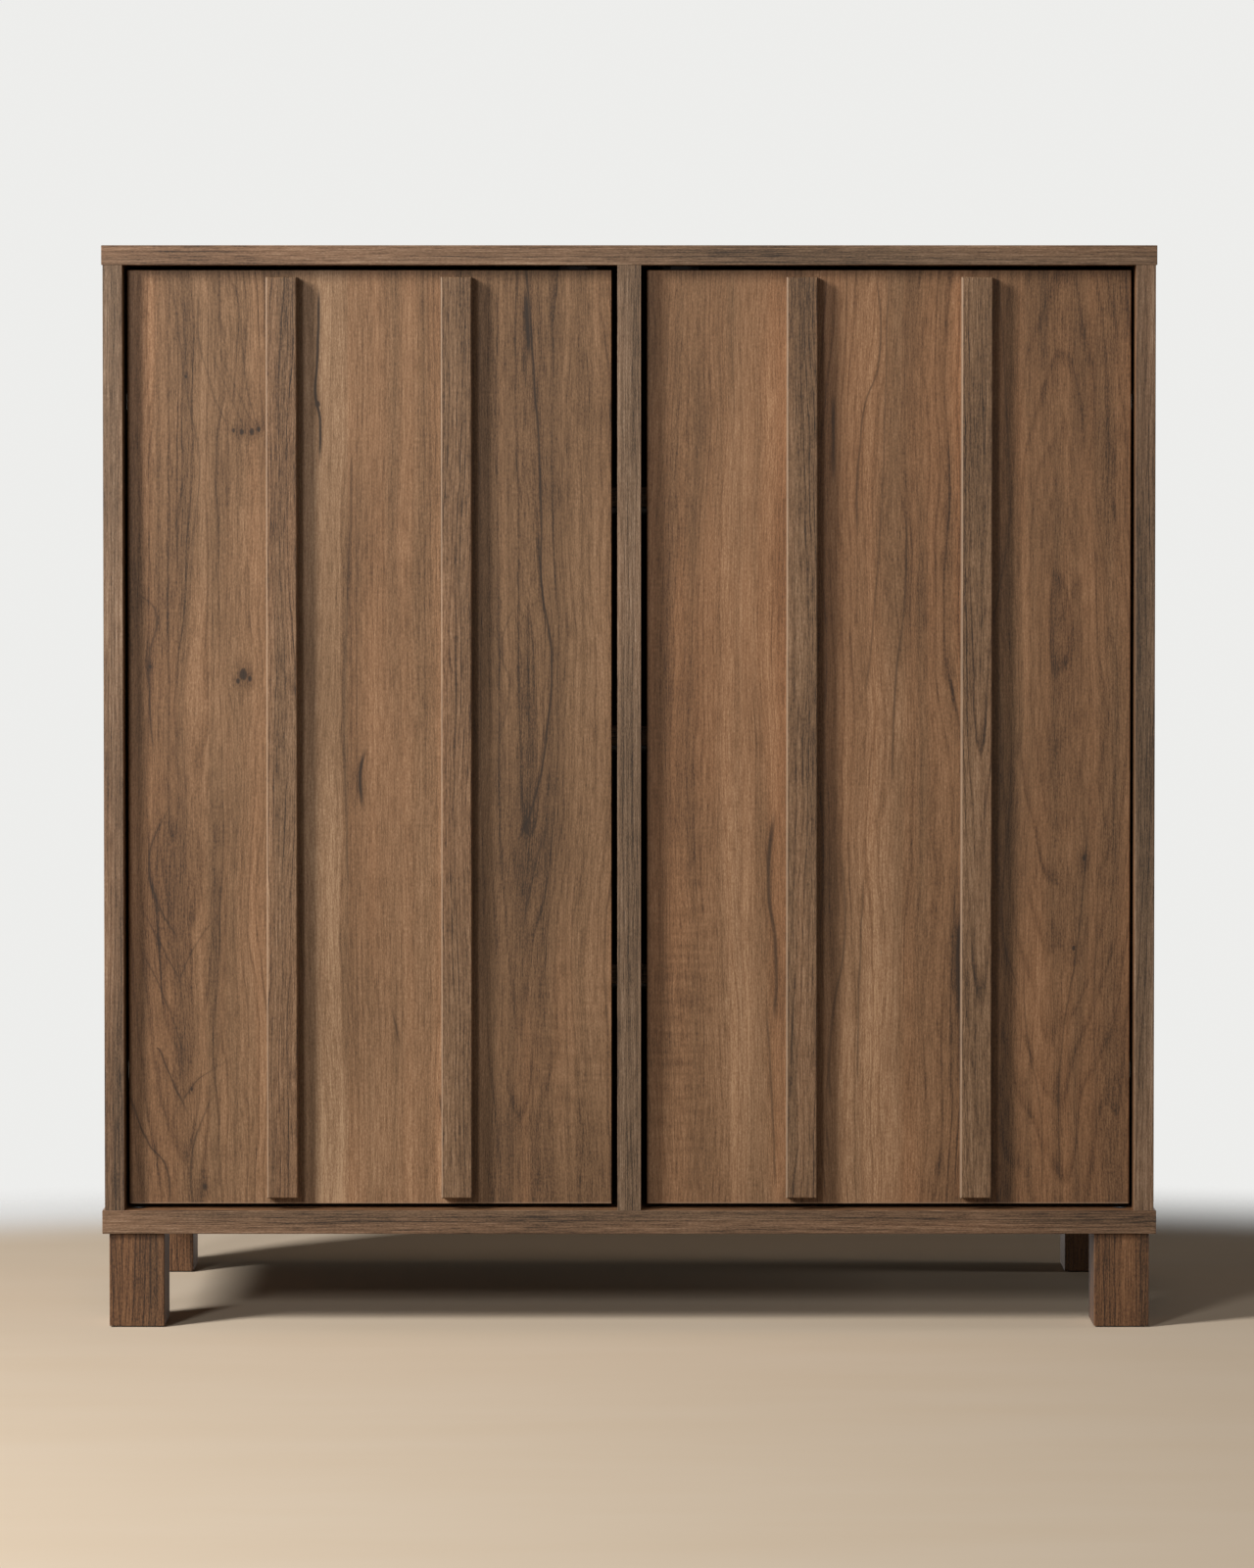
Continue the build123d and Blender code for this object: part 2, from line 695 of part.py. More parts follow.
left_half = {
    "side_panel_{side}": [side_panel()],
    "door_panel_{side}": [door_panel()],
    "batten_screws_{side}": [screw(*seat) for seat in batten_screw_seats()],
    "hinge_pins_{side}": [hinge_rod(z, pin_half_length, hinge_pin_radius) for z in hinge_levels],
    "hinge_cup_screws_{side}": list(cup_screws()),
    "latch_housing_{side}": [latch_housing()],
    "latch_plunger_{side}": [latch_plunger()],
    "latch_spring_{side}": [latch_spring()],
    "latch_strike_{side}": [latch_strike()],
}
for place, x in batten_middles.items():
    left_half["batten_{side}_" + place] = [batten(x)]
for i, level in enumerate(shelf_levels):
    left_half["shelf_{side}_" + str(i + 1)] = [shelf(level)]
for place, z in zip(("lower", "upper"), hinge_levels):
    left_half["hinge_cup_{side}_" + place] = [hinge_cup(z)]
    left_half["hinge_arm_{side}_" + place] = [hinge_arm(z)]
    left_half["hinge_plate_{side}_" + place] = [hinge_plate(z)]

for name, solids in left_half.items():
    pieces[name.format(side="left")] = solids
    pieces[name.format(side="right")] = [to_right(solid) for solid in solids]

os.makedirs("parts", exist_ok=True)
for name, solids in pieces.items():
    whole = solids[0] if len(solids) == 1 else Compound(children=solids)
    export_step(whole, f"parts/{name}.step")
print(len(pieces), "nodes")
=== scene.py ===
import json
import math
import random
import bmesh
import bpy
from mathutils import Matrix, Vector


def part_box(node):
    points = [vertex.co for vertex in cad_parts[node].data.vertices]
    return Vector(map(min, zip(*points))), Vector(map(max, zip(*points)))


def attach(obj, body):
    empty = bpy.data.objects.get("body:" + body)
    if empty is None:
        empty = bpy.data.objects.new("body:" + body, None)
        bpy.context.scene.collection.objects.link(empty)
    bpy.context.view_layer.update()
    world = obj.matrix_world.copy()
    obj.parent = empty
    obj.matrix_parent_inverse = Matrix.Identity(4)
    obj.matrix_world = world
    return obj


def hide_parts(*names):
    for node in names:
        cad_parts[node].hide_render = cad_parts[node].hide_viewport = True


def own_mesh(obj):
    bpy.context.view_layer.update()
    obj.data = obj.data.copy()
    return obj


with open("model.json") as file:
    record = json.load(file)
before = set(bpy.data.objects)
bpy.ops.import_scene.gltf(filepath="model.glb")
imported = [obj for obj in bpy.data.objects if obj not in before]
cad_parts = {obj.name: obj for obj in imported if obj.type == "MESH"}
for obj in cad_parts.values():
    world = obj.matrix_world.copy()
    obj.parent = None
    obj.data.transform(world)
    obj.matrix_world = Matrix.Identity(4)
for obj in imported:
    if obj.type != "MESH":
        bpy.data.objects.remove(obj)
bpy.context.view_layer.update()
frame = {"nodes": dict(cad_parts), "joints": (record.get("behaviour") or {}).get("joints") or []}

nodes = frame["nodes"]
mmPerMetre = 1000


def edgeOf(node, side, axis):
    # a node's lowest (0) or highest (1) limit along x, y or z, in mm
    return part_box(node)[side]["xyz".index(axis)] * mmPerMetre


def paint(red, green, blue):
    # a colour as it looks on screen, made linear for a socket
    tones = [c / 255 for c in (red, green, blue)]
    return [t / 12.92 if t <= 0.04045 else ((t + 0.055) / 1.055) ** 2.4 for t in tones] + [1.0]


class Wire:
    # one output socket; sums of wires add their own Math nodes
    def __init__(self, tree, socket=None):
        self.tree = tree
        self.socket = socket

    def add(self, kind, settings=None, sockets=None, output=0):
        node = self.tree.nodes.new("ShaderNode" + kind)
        for name, value in (settings or {}).items():
            if name == "stops":
                self.setStops(node.color_ramp, value)
            elif name == "path":
                self.setPath(node.mapping, value)
            else:
                setattr(node, name, value)
        for name, value in (sockets or {}).items():
            if isinstance(value, Wire):
                self.tree.links.new(value.socket, node.inputs[name])
            else:
                node.inputs[name].default_value = value
        return Wire(self.tree, node.outputs[output] if node.outputs else None)

    def other(self, output):
        # another output of the same node
        return Wire(self.tree, self.socket.node.outputs[output])

    @staticmethod
    def setStops(ramp, stops):
        while len(ramp.elements) < len(stops):
            ramp.elements.new(0.5)
        for element, (place, color) in zip(ramp.elements, stops):
            element.position = place
            element.color = color

    @staticmethod
    def setPath(mapping, spots):
        curve = mapping.curves[0]
        while len(curve.points) < len(spots):
            curve.points.new(0.5, 0.5)
        for point, spot in zip(curve.points, spots):
            point.location = spot
        mapping.update()

    def calc(self, operation, *values):
        return self.add("Math", {"operation": operation}, dict(enumerate(values)))

    def __add__(self, other):
        return self.calc("ADD", self, other)

    def __radd__(self, other):
        return self.calc("ADD", other, self)

    def __sub__(self, other):
        return self.calc("SUBTRACT", self, other)

    def __rsub__(self, other):
        return self.calc("SUBTRACT", other, self)

    def __mul__(self, other):
        return self.calc("MULTIPLY", self, other)

    def __rmul__(self, other):
        return self.calc("MULTIPLY", other, self)

    def __truediv__(self, other):
        return self.calc("DIVIDE", self, other)

    def __pow__(self, other):
        return self.calc("POWER", self, other)

    def __gt__(self, other):
        return self.calc("GREATER_THAN", self, other)

    def __lt__(self, other):
        return self.calc("LESS_THAN", self, other)

    def clamped(self):
        return self.add("Clamp", None, {"Value": self})

    def swing(self, amount):
        # a noise about its middle, times an amount
        return (self - 0.5) * amount

    def between(self, low, high):
        # from low where the wire is 0 to high where it is 1
        return self * (high - low) + low

    def rise(self, low, high):
        # 0 below low, 1 above high, eased between; this easing needs no clamp
        return self.add("MapRange", {"interpolation_type": "SMOOTHSTEP", "clamp": False},
                        {"Value": self, "From Min": low, "From Max": high})

    def noise(self, x, y, z, detail=2.0, roughness=0.5):
        spot = self.add("CombineXYZ", None, {"X": x, "Y": y, "Z": z})
        return self.add("TexNoise", None, {"Vector": spot, "Scale": 1.0, "Detail": detail,
                                           "Roughness": roughness})

    def blend(self, amount, first, second, how="MIX"):
        # a Mix node's colour sockets are its inputs 6 and 7 and its output 2
        return self.add("Mix", {"data_type": "RGBA", "blend_type": how, "clamp_factor": True},
                        {0: amount, 6: first, 7: second}, output=2)


def newFinish(name, **constants):
    # an empty material with its Principled shader, and a wire to draw its nodes with
    material = bpy.data.materials.new(name)
    material.use_nodes = True
    tree = material.node_tree
    tree.nodes.clear()
    wire = Wire(tree)
    shader = wire.add("BsdfPrincipled", None, {k.replace("_", " "): v for k, v in constants.items()})
    wire.add("OutputMaterial", None, {"Surface": shader})
    return material, wire, shader.socket.node


def link(wire, node, name):
    wire.tree.links.new(wire.socket, node.inputs[name])


def place(wire):
    # object coordinates in millimetres
    spot = wire.add("TexCoord", output="Object")
    split = wire.add("SeparateXYZ", None, {"Vector": spot})
    return [split.other(axis) * mmPerMetre for axis in "XYZ"]


def bump(wire, shader, height, strength, distance):
    bent = wire.add("Bump", None, {"Strength": strength, "Distance": distance, "Height": height})
    link(bent, shader, "Normal")


def dress(names, material):
    for name in names:
        mesh = nodes[name].data
        mesh.materials.clear()
        mesh.materials.append(material)


print("tools ready")

walnut = {
    "tones": [(0.0, paint(50, 34, 20)), (0.25, paint(97, 70, 47)), (0.5, paint(128, 96, 67)),
              (0.75, paint(154, 119, 88)), (1.0, paint(184, 149, 115))],
    "edgeTones": [(0.0, paint(48, 36, 26)), (0.25, paint(93, 72, 53)), (0.5, paint(124, 98, 75)),
                  (0.75, paint(151, 125, 101)), (1.0, paint(182, 156, 132))],
    "redTint": paint(204, 180, 166),
    "redShare": 0.5,
    "greyTint": paint(180, 186, 188),
    "greyShare": 0.45,
    "markTone": paint(38, 26, 16),
    "markShare": 0.9,
    # colour of the pale edge lines: partly the edge band's own colour, partly painted highlight
    "paleEdgeHighlightTone": paint(178, 150, 124),
    "middle": 0.55,         # tone of a plain spot
    "lift": -0.012,         # makes a piece lighter or darker
    "fibre": 1.156,         # contrast of fibres about a millimetre wide
    "speck": 0.62,          # contrast of short specks within the fibres
    "streak": 0.352,        # contrast of streaks a few mm wide
    "sweep": 0.48,          # contrast of long bands about 15 mm wide
    "cloud": 0.8,           # contrast of slow changes of tone
    "wander": 9.0,          # mm that a growth line strays sideways
    "pores": 0.0,           # depth of the pores in embossed wood
    "roughness": 0.5,
    "gloss": 0.14,          # light wood is this much smoother than dark wood
    "relief": 0.12,
    "reliefDepth": 0.0005,  # metres
    "specular": 0.36,
    "bandStretch": 1.6,     # the figure on an edge band, stretched over its thickness
    "bandStart": 40,        # mm from the heart
}

# noises of the figure: steps per mm across and along the fibres
noises = {
    "slow": dict(across=0.009, along=0.0021),
    "sway": dict(across=0.034, along=0.0065, startAcross=7.1),
    "curl": dict(across=0.13, along=0.028, startAcross=3.3),
    "patch": dict(across=0.03, along=0.007, startAcross=12),
    "fine": dict(across=0.95, along=0.05, detail=2.0, roughness=0.75),
    "speck": dict(across=1.1, along=0.42),
    "streak": dict(across=0.3, along=0.006, roughness=0.6),
    "sweep": dict(across=0.075, along=0.0016),
    "cloud": dict(across=0.017, along=0.0042, startAcross=3.0, detail=2.5, roughness=0.6),
    "ripple": dict(across=0.03, along=0.15),
    "pore": dict(across=1.5, along=0.13, startAlong=5),
    "glint": dict(across=1.3, along=0.1, startAcross=9, startAlong=8),
}

# how the figure is made from the noises
habit = {
    "slowBend": 3.2,            # how many wanders the slow noise bends a growth line by
    "curlBend": 2.4,            # mm that the curl bends it by
    "swayRings": 2.2,           # rings that the sway and the slow noise move it by
    "slowRings": 3.0,
    "lateRise": (0.5, 0.9),     # shares of a ring over which its dark edge comes in, and goes
    "lateFall": (1.0, 0.88),
    "lateDepths": (0.2, 1.0),   # the edge's least and most darkness by the ring's own draw,
    "patchRise": (0.32, 0.66),
    "patchDepths": (0.3, 1.1),  # by the patch that it lies in,
    "curlDepths": (0.5, 1.4),   # and by the curl
    "earlyShade": 0.1,
    "poreRise": (0.58, 0.7),
    "poreShade": 0.0706,
    "redness": dict(slow=2.4, cloud=1.5, sweep=1.4),
    "ragged": dict(fine=1.2, curl=0.8),
    "height": dict(fine=1.1, speck=0.35),
    "shadeWaver": 24,           # mm that the sway moves a shade's rim by
    "lineWaver": 2.6,           # mm that the curl moves a painted line by
    "lineRise": (1.5, 0.3),     # the line's rim and core, and its halo's rim, in line widths
    "lineHalo": 5.0,
    "lineHaloShade": 0.13,
    "lineEnds": (0.02, 0.01),   # how far it runs out beyond and within its ends, in door heights
    "lineBase": 0.85,
    "knotSwell": (5, 14),       # how far growth lines bend round a knot, in knot sizes
    "knotPush": -0.7,
    "knotTall": 1.5,
    "knotRagged": 1.3,
    "knotRise": (0.3, 0.85),
    "knotHalo": (2.4, 4.5),     # in knot sizes
    "knotHaloShade": 0.14,
    "paleSoft": 7,              # mm on both sides of a pale band's limits
    "paleGrey": 2.0,
    "pitRise": (0.52, 0.68),    # embossed pits, and the glints between them
    "glintRise": (0.55, 0.72),
    "glintShare": 0.7,
    "paleEdgeHighlightSoft": 0.3,             # mm on both sides of a pale edge line's limits; the line is partly painted highlight
}


def stepped(across, planks, key):
    # a plank's own value, changing at each joint between planks
    value = planks[0][key]
    for before, after in zip(planks, planks[1:]):
        jump = after[key] - before[key]
        if jump:
            value = (across > before["upTo"]) * jump + value
    return value


def plank(upTo, heart, lean, ring, lines, tone=0.0, red=0.0, closed=0.0):
    # the tree's heart lies beside the plank, and its rings meet the face at a lean on one side of it
    return {"upTo": upTo, "heartAcross": heart[0], "heartAlong": heart[1], "lean": lean, "ring": ring,
            "lines": lines, "tone": tone, "red": red, "closed": closed}


# limits of what is drawn at random for each free plank
freePlank = {
    "width": (80, 140),         # mm
    "heart": (-0.4, 1.4),       # plank widths from its edge
    "beyond": (380, 700),       # mm along the fibres, from the face's middle to the heart
    "lean": (0.05, 0.1),
    "ring": (4.5, 7),           # mm
    "lines": (0.2, 0.4),
    "tone": (-0.06, 0.06),
    "red": (-0.3, 0.6),
}


def freePlanks(seed, low, high, middle):
    # planks for a face whose figure is free
    draw = random.Random(seed)

    def pick(key):
        return draw.uniform(*freePlank[key])

    planks = []
    edge = low
    while edge < high:
        width = pick("width")
        heart = (edge + width * pick("heart"), middle + draw.choice((-1, 1)) * pick("beyond"))
        drawn = {key: pick(key) for key in ("lean", "ring", "lines", "tone", "red")}
        planks.append(plank(edge + width, heart, **drawn))
        edge += width
    return planks


def spotAt(across, along, at, size):
    # 1 in the middle of an upright oval mark, 0 from its rim outwards
    near = 1 - ((across - at[0]) / size[0]) ** 2 - ((along - at[1]) / size[1]) ** 2
    return near.calc("MAXIMUM", near, 0.0)


def lineAside(across, level, points, size):
    # how far a spot lies from a line through a few points, listed from the line's upper end
    spots = sorted((along / size[1], across / size[0]) for across, along in points)
    aside = across - level.add("FloatCurve", {"path": spots}, {"Value": level}) * size[0]
    return aside.calc("ABSOLUTE", aside)


def figureNoise(wire, name, across, deep, along, seed):
    kind = noises[name]
    start = seed + kind.get("startAlong", 0)
    beside = across * kind["across"]
    if "startAcross" in kind:
        beside = beside + kind["startAcross"]
    return wire.noise(beside, deep * kind["across"], along * kind["along"] + start,
                      kind.get("detail", 1.0), kind.get("roughness", 0.5))


def paintedLines(across, along, curl, plan):
    # a plan's dark lines, and the shade beside them
    size = plan["size"]
    uneven = across + (curl.swing(habit["lineWaver"]) - plan["start"][0])
    level = (along - plan["start"][1]) / size[1]
    beyond, within = habit["lineEnds"]
    marks = shade = 0.0
    for points, width, depth in plan["lines"]:
        aside = lineAside(uneven, level, points, size)
        high, low = points[0][1] / size[1], points[-1][1] / size[1]
        ends = level.rise(low - beyond, low + within) * level.rise(high + beyond, high - within)
        line = aside.rise(*(width * share for share in habit["lineRise"])) * ends
        marks = line.calc("MAXIMUM", line * depth, marks)
        halo = aside.rise(width * habit["lineHalo"], 0) * ends * depth
        shade = line.calc("MAXIMUM", halo, shade)
    return marks, shade


def woodFace(wire, across, along, deep, planks, look, seed, plan):
    # tone from 0 dark to 1 light, redness, dark marks and height of a face; the height leaves out
    # rings and lines, because a Bump node works out all that it reads three times
    def layer(name, beside=across):
        return figureNoise(wire, name, beside, deep, along, seed)

    def own(key):
        return stepped(across, planks, key)

    def spot(at, size, reach):
        return spotAt(across, along, at, (size * reach[0], size * reach[1]))

    slow, sway, curl = layer("slow"), layer("sway"), layer("curl")
    drift = across + slow.swing(look["wander"] * habit["slowBend"]) + sway.swing(look["wander"])
    bent = drift + curl.swing(habit["curlBend"])
    for at, size in plan.get("knots", ()):
        swell = spot(at, size, habit["knotSwell"])
        bent = bent + (across - at[0]) * swell * swell * habit["knotPush"]
    heartSide = bent - own("heartAcross")
    taper = (along - own("heartAlong")) * own("lean")
    heartDepth = taper.calc("MINIMUM", taper, own("closed")) + deep
    fromHeart = (heartSide * heartSide + heartDepth * heartDepth) ** 0.5
    rings = fromHeart / own("ring") + sway.swing(habit["swayRings"]) + slow.swing(habit["slowRings"])
    phase = rings.calc("FRACT", rings)
    ringSpot = wire.add("CombineXYZ", None, {"X": rings.calc("FLOOR", rings), "Y": seed})
    ringDraw = wire.add("TexWhiteNoise", {"noise_dimensions": "2D"}, {"Vector": ringSpot})
    patch = layer("patch").rise(*habit["patchRise"])
    late = phase.rise(*habit["lateRise"]) ** 2.0 * phase.rise(*habit["lateFall"])
    late = late * ringDraw.between(*habit["lateDepths"]) * patch.between(*habit["patchDepths"])
    late = late * curl.between(*habit["curlDepths"]) + phase ** 2.0 * habit["earlyShade"]
    fine, speck = layer("fine", drift), layer("speck", drift)
    streak, sweep = layer("streak", drift), layer("sweep", drift)
    cloud = layer("cloud")
    pore = fine.rise(*habit["poreRise"])
    tone = fine.swing(look["fibre"]) + streak.swing(look["streak"])
    tone = tone + speck.swing(look["speck"]) + sweep.swing(look["sweep"])
    tone = tone + cloud.swing(look["cloud"]) + (look["middle"] + look["lift"]) + own("tone")
    tone = tone - late * own("lines") - pore * (look["fibre"] * habit["poreShade"])
    redness = habit["redness"]
    red = slow.swing(redness["slow"]) + cloud.swing(redness["cloud"]) + sweep.swing(redness["sweep"])
    red = red + own("red")
    ragged = fine.swing(habit["ragged"]["fine"]) + curl.swing(habit["ragged"]["curl"])
    for at, size, amount in plan.get("ripples", ()):
        tone = tone + layer("ripple").swing(amount) * spotAt(across, along, at, size)
    # darker or lighter spots of tone; the broad spot low on each door is painted bounce light that
    # lightens it towards its bottom
    for at, size, amount in plan.get("shadesAndPaintedBounce", ()):
        tone = tone + spotAt(across + sway.swing(habit["shadeWaver"]), along, at, size) * amount
    marks = 0.0
    if plan.get("lines"):
        marks, shade = paintedLines(across, along, curl, plan)
        tone = tone - shade * habit["lineHaloShade"]
        marks = marks * (ragged + habit["lineBase"])
    for at, size in plan.get("knots", ()):
        near = spot(at, size, (1, habit["knotTall"]))
        mark = (near + ragged * habit["knotRagged"]).rise(*habit["knotRise"])
        tone = tone - spot(at, size, habit["knotHalo"]) * habit["knotHaloShade"]
        marks = mark.calc("MAXIMUM", mark, marks)
    soft = habit["paleSoft"]
    for start, end, amount, sharp in plan.get("pale", ()):
        begun = bent.rise(start - soft, start + soft)
        ended = bent.rise(end - soft + sharp, end + soft - sharp)
        band = begun * (1 - ended)
        tone = tone + band * amount
        red = red - band * (amount * habit["paleGrey"])
    return tone, red, marks, fine * habit["height"]["fine"] + speck * habit["height"]["speck"]


# unfaced board: chips on cut edges, and the fibres of the back panel's rear
rawBoard = {
    "chips": (paint(128, 96, 64), paint(196, 164, 122)),
    "chipSteps": 0.55,      # per mm, as the other steps
    "weave": (paint(140, 108, 76), paint(188, 154, 114)),
    "weaveSteps": 0.9,
    "blot": paint(134, 103, 73),
    "blotSteps": 0.012,
    "blotRise": (0.35, 0.7),
    "blotShare": 0.4,
    "fleck": paint(208, 176, 136),
    "fleckSteps": 0.22,
    "fleckRise": (0.5, 0.75),
    "fleckShare": 0.4,
}


def chipboard(wire, x, y, z):
    # pressed chips on a cut edge
    size = rawBoard["chipSteps"]
    spot = wire.add("CombineXYZ", None, {"X": x * size, "Y": y * size, "Z": z * size})
    chips = wire.add("TexVoronoi", {"feature": "F1"}, {"Vector": spot, "Scale": 1.0}, output="Color")
    grey = wire.add("SeparateColor", None, {"Color": chips})
    return wire.blend(grey, *rawBoard["chips"])


def pressedFibres(wire, x, y, z):
    # a thin board's unfaced side
    weaveSize, blotSize, fleckSize = (rawBoard[kind + "Steps"] for kind in ("weave", "blot", "fleck"))
    weave = wire.noise(x * weaveSize, y, z * weaveSize, 4.0, 0.7)
    blot = wire.noise(x * blotSize, 0.0, z * blotSize, 3.0, 0.6).rise(*rawBoard["blotRise"])
    fleck = wire.noise(x * fleckSize, 4.0, z * fleckSize, 3.0, 0.7).rise(*rawBoard["fleckRise"])
    color = wire.blend(weave, *rawBoard["weave"])
    color = wire.blend(blot * rawBoard["blotShare"], color, rawBoard["blot"])
    return wire.blend(fleck * rawBoard["fleckShare"], color, rawBoard["fleck"])


def walnutFinish(name, grain, planks, look=walnut, seed=0.0, deepFrom=0.0, plan=None, edgeBand=None,
                 rawRear=None, rawFace=None, edgeShare=0.0, rub=None):
    # grain names the axis that the fibres follow, then the axis across the board's face
    plan = plan or {}
    material, wire, shader = newFinish(name, Specular_IOR_Level=look["specular"])
    spots = dict(zip("xyz", place(wire)))
    along, across = spots[grain[0]], spots[grain[1]]
    deep = next(spots[axis] for axis in "xyz" if axis not in grain) - deepFrom
    band = edgeShare
    if edgeBand is not None:
        # the narrow band on a board's edge has its own figure, drawn across its thickness
        band = spots[grain[1]] < edgeBand
        start = planks[0]["heartAcross"] + look["bandStart"]
        across = across + band * (deep * look["bandStretch"] - across + start)
        deep = deep * (1 - band)
    tone, red, marks, height = woodFace(wire, across, along, deep, planks, look, seed, plan)
    if look["pores"]:
        pore = figureNoise(wire, "pore", across, deep, along, seed)
        glint = figureNoise(wire, "glint", across, deep, along, seed)
        pitted = pore.rise(*habit["pitRise"]) * look["pores"]
        tone = tone - pitted + glint.rise(*habit["glintRise"]) * (look["pores"] * habit["glintShare"])
        height = height - pitted
    face = wire.add("ValToRGB", {"stops": look["tones"]}, {"Fac": tone})
    edge = wire.add("ValToRGB", {"stops": look["edgeTones"]}, {"Fac": tone})
    color = wire.blend(band, face, edge)
    color = wire.blend(red.clamped() * look["redShare"], color, look["redTint"], "SOFT_LIGHT")
    color = wire.blend((red * -1).clamped() * look["greyShare"], color, look["greyTint"], "SOFT_LIGHT")
    if plan.get("knots") or plan.get("lines"):
        color = wire.blend(marks.clamped() * look["markShare"], color, look["markTone"])
    # a pale line along one edge: partly the edge band's own pale line, partly a painted highlight where
    # the eased edge catches the light
    if rub:
        axis, low, high, amount = rub
        soft = habit["paleEdgeHighlightSoft"]
        begun = spots[axis].rise(low - soft, low + soft)
        ended = spots[axis].rise(high - soft, high + soft)
        color = wire.blend(begun * (1 - ended) * amount, color, look["paleEdgeHighlightTone"])
    if rawRear is not None:
        color = wire.blend(spots["y"] > rawRear, color, chipboard(wire, *spots.values()))
    if rawFace is not None:
        color = wire.blend(spots["y"] > rawFace, color, pressedFibres(wire, *spots.values()))
    link(color, shader, "Base Color")
    link(tone * -look["gloss"] + (look["roughness"] + look["gloss"] / 2), shader, "Roughness")
    bump(wire, shader, height, look["relief"], look["reliefDepth"])
    return material


leftStart = edgeOf("door_panel_left", 0, "x")
rightStart = edgeOf("door_panel_right", 0, "x")
doorFoot = edgeOf("door_panel_left", 0, "z")
doorWide = edgeOf("door_panel_left", 1, "x") - leftStart
doorTall = edgeOf("door_panel_left", 1, "z") - doorFoot
doorFace = edgeOf("door_panel_left", 0, "y")
carcassFront = edgeOf("side_panel_left", 0, "y")
carcassRear = edgeOf("side_panel_left", 1, "y")

# figure of the doors: places are mm from a door's left edge and lower edge. A plank says where it
# ends, its tree's heart, lean, ring width, line depth, tone and redness; a knot its place and size;
# a line its points, width and depth; a shade or ripple its place, size and amount; a pale band its
# limits, amount and sharpness.
leftFigure = {
    "planks": [plank(62, (38, 330), 0.1, 7.5, 0.3, -0.02, 0.25),
               plank(125, (-60, 500), 0.03, 6.2, 0.3, 0.0, 0.15),
               plank(168, (-120, 500), 0.02, 6.0, 0.12, 0.02, -0.1),
               plank(250, (330, 400), 0.02, 4.2, 0.2, 0.03, 0.25),
               plank(400, (303, 400), 0.07, 7.0, 0.28, -0.115, -0.25)],
    "knots": [((81, 591), 1.5), ((87, 590), 2.2), ((95, 590), 2.8), ((100, 592), 2.0), ((88, 405), 4.2),
              ((93, 402), 2.4), ((84, 400), 2.0), ((17, 411), 1.5), ((45, 632), 1.2), ((58, 13), 3.6),
              ((48, 88), 1.8), ((145, 611), 2.4)],
    "lines": [
        (((304, 712), (308, 662), (315, 546), (316, 472), (323, 422), (321, 372), (313, 321),
          (302, 287)), 0.8, 1.0),
        (((304, 690), (306, 655)), 1.5, 1.4),
        (((316, 280), (308, 247), (303, 219)), 0.8, 0.6),
        (((291, 448), (285, 422), (291, 400), (288, 373)), 0.7, 0.45),
        (((35, 700), (44, 629), (55, 561), (51, 521), (48, 476)), 0.6, 0.4),
        (((54, 692), (55, 659), (61, 634), (66, 617), (75, 597)), 0.5, 0.5),
        (((83, 694), (87, 667), (90, 634), (98, 597)), 0.5, 0.4),
        (((66, 648), (76, 622), (88, 595)), 0.5, 0.35),
        (((75, 640), (88, 612), (97, 595)), 0.5, 0.35),
        (((14, 462), (22, 450), (17, 422), (16, 409), (19, 352)), 0.8, 0.55),
        (((26, 294), (16, 260), (32, 212)), 0.8, 0.7),
        (((13, 220), (39, 172)), 0.7, 0.5),
        (((60, 211), (51, 198), (39, 172)), 0.7, 0.45),
        (((13, 188), (25, 163), (41, 120)), 0.7, 0.5),
        (((13, 122), (21, 121), (30, 101), (41, 78)), 0.8, 0.8),
        (((61, 101), (50, 92), (41, 78)), 0.8, 0.6),
        (((3, 76), (15, 46), (28, 29), (31, 6)), 0.9, 0.8),
        (((60, 74), (50, 46), (47, 17), (48, 4)), 0.8, 0.6),
        (((146, 690), (145, 650), (144, 617), (147, 600), (147, 577)), 1.0, 1.35),
        (((171, 565), (168, 470), (165, 380), (168, 250)), 0.9, 0.45),
        (((179, 340), (177, 327), (178, 312)), 1.5, 1.2),
        (((238, 80), (240, 66)), 1.2, 0.85),
        (((203, 142), (206, 126)), 0.9, 0.7)],
    "shadesAndPaintedBounce": [((170, 240), (9, 330), -0.1), ((300, 330), (34, 110), -0.1),
               ((300, 250), (26, 60), -0.05), ((92, 585), (34, 60), -0.07),
               ((20, 440), (26, 60), -0.08), ((40, 250), (40, 90), -0.06),
               ((36, 110), (60, 190), -0.15), ((292, 110), (44, 190), -0.13),
               # the last spot, broad and low, is painted bounce light that lightens the door towards
               # its bottom
               ((360, 400), (22, 420), 0.14), ((190, 50), (200, 300), 0.08)],
    "ripples": [((335, 120), (50, 110), 0.3)],
    "pale": [(137, 164, 0.17, 5.0), (50, 62, 0.1, 0.0)],
}
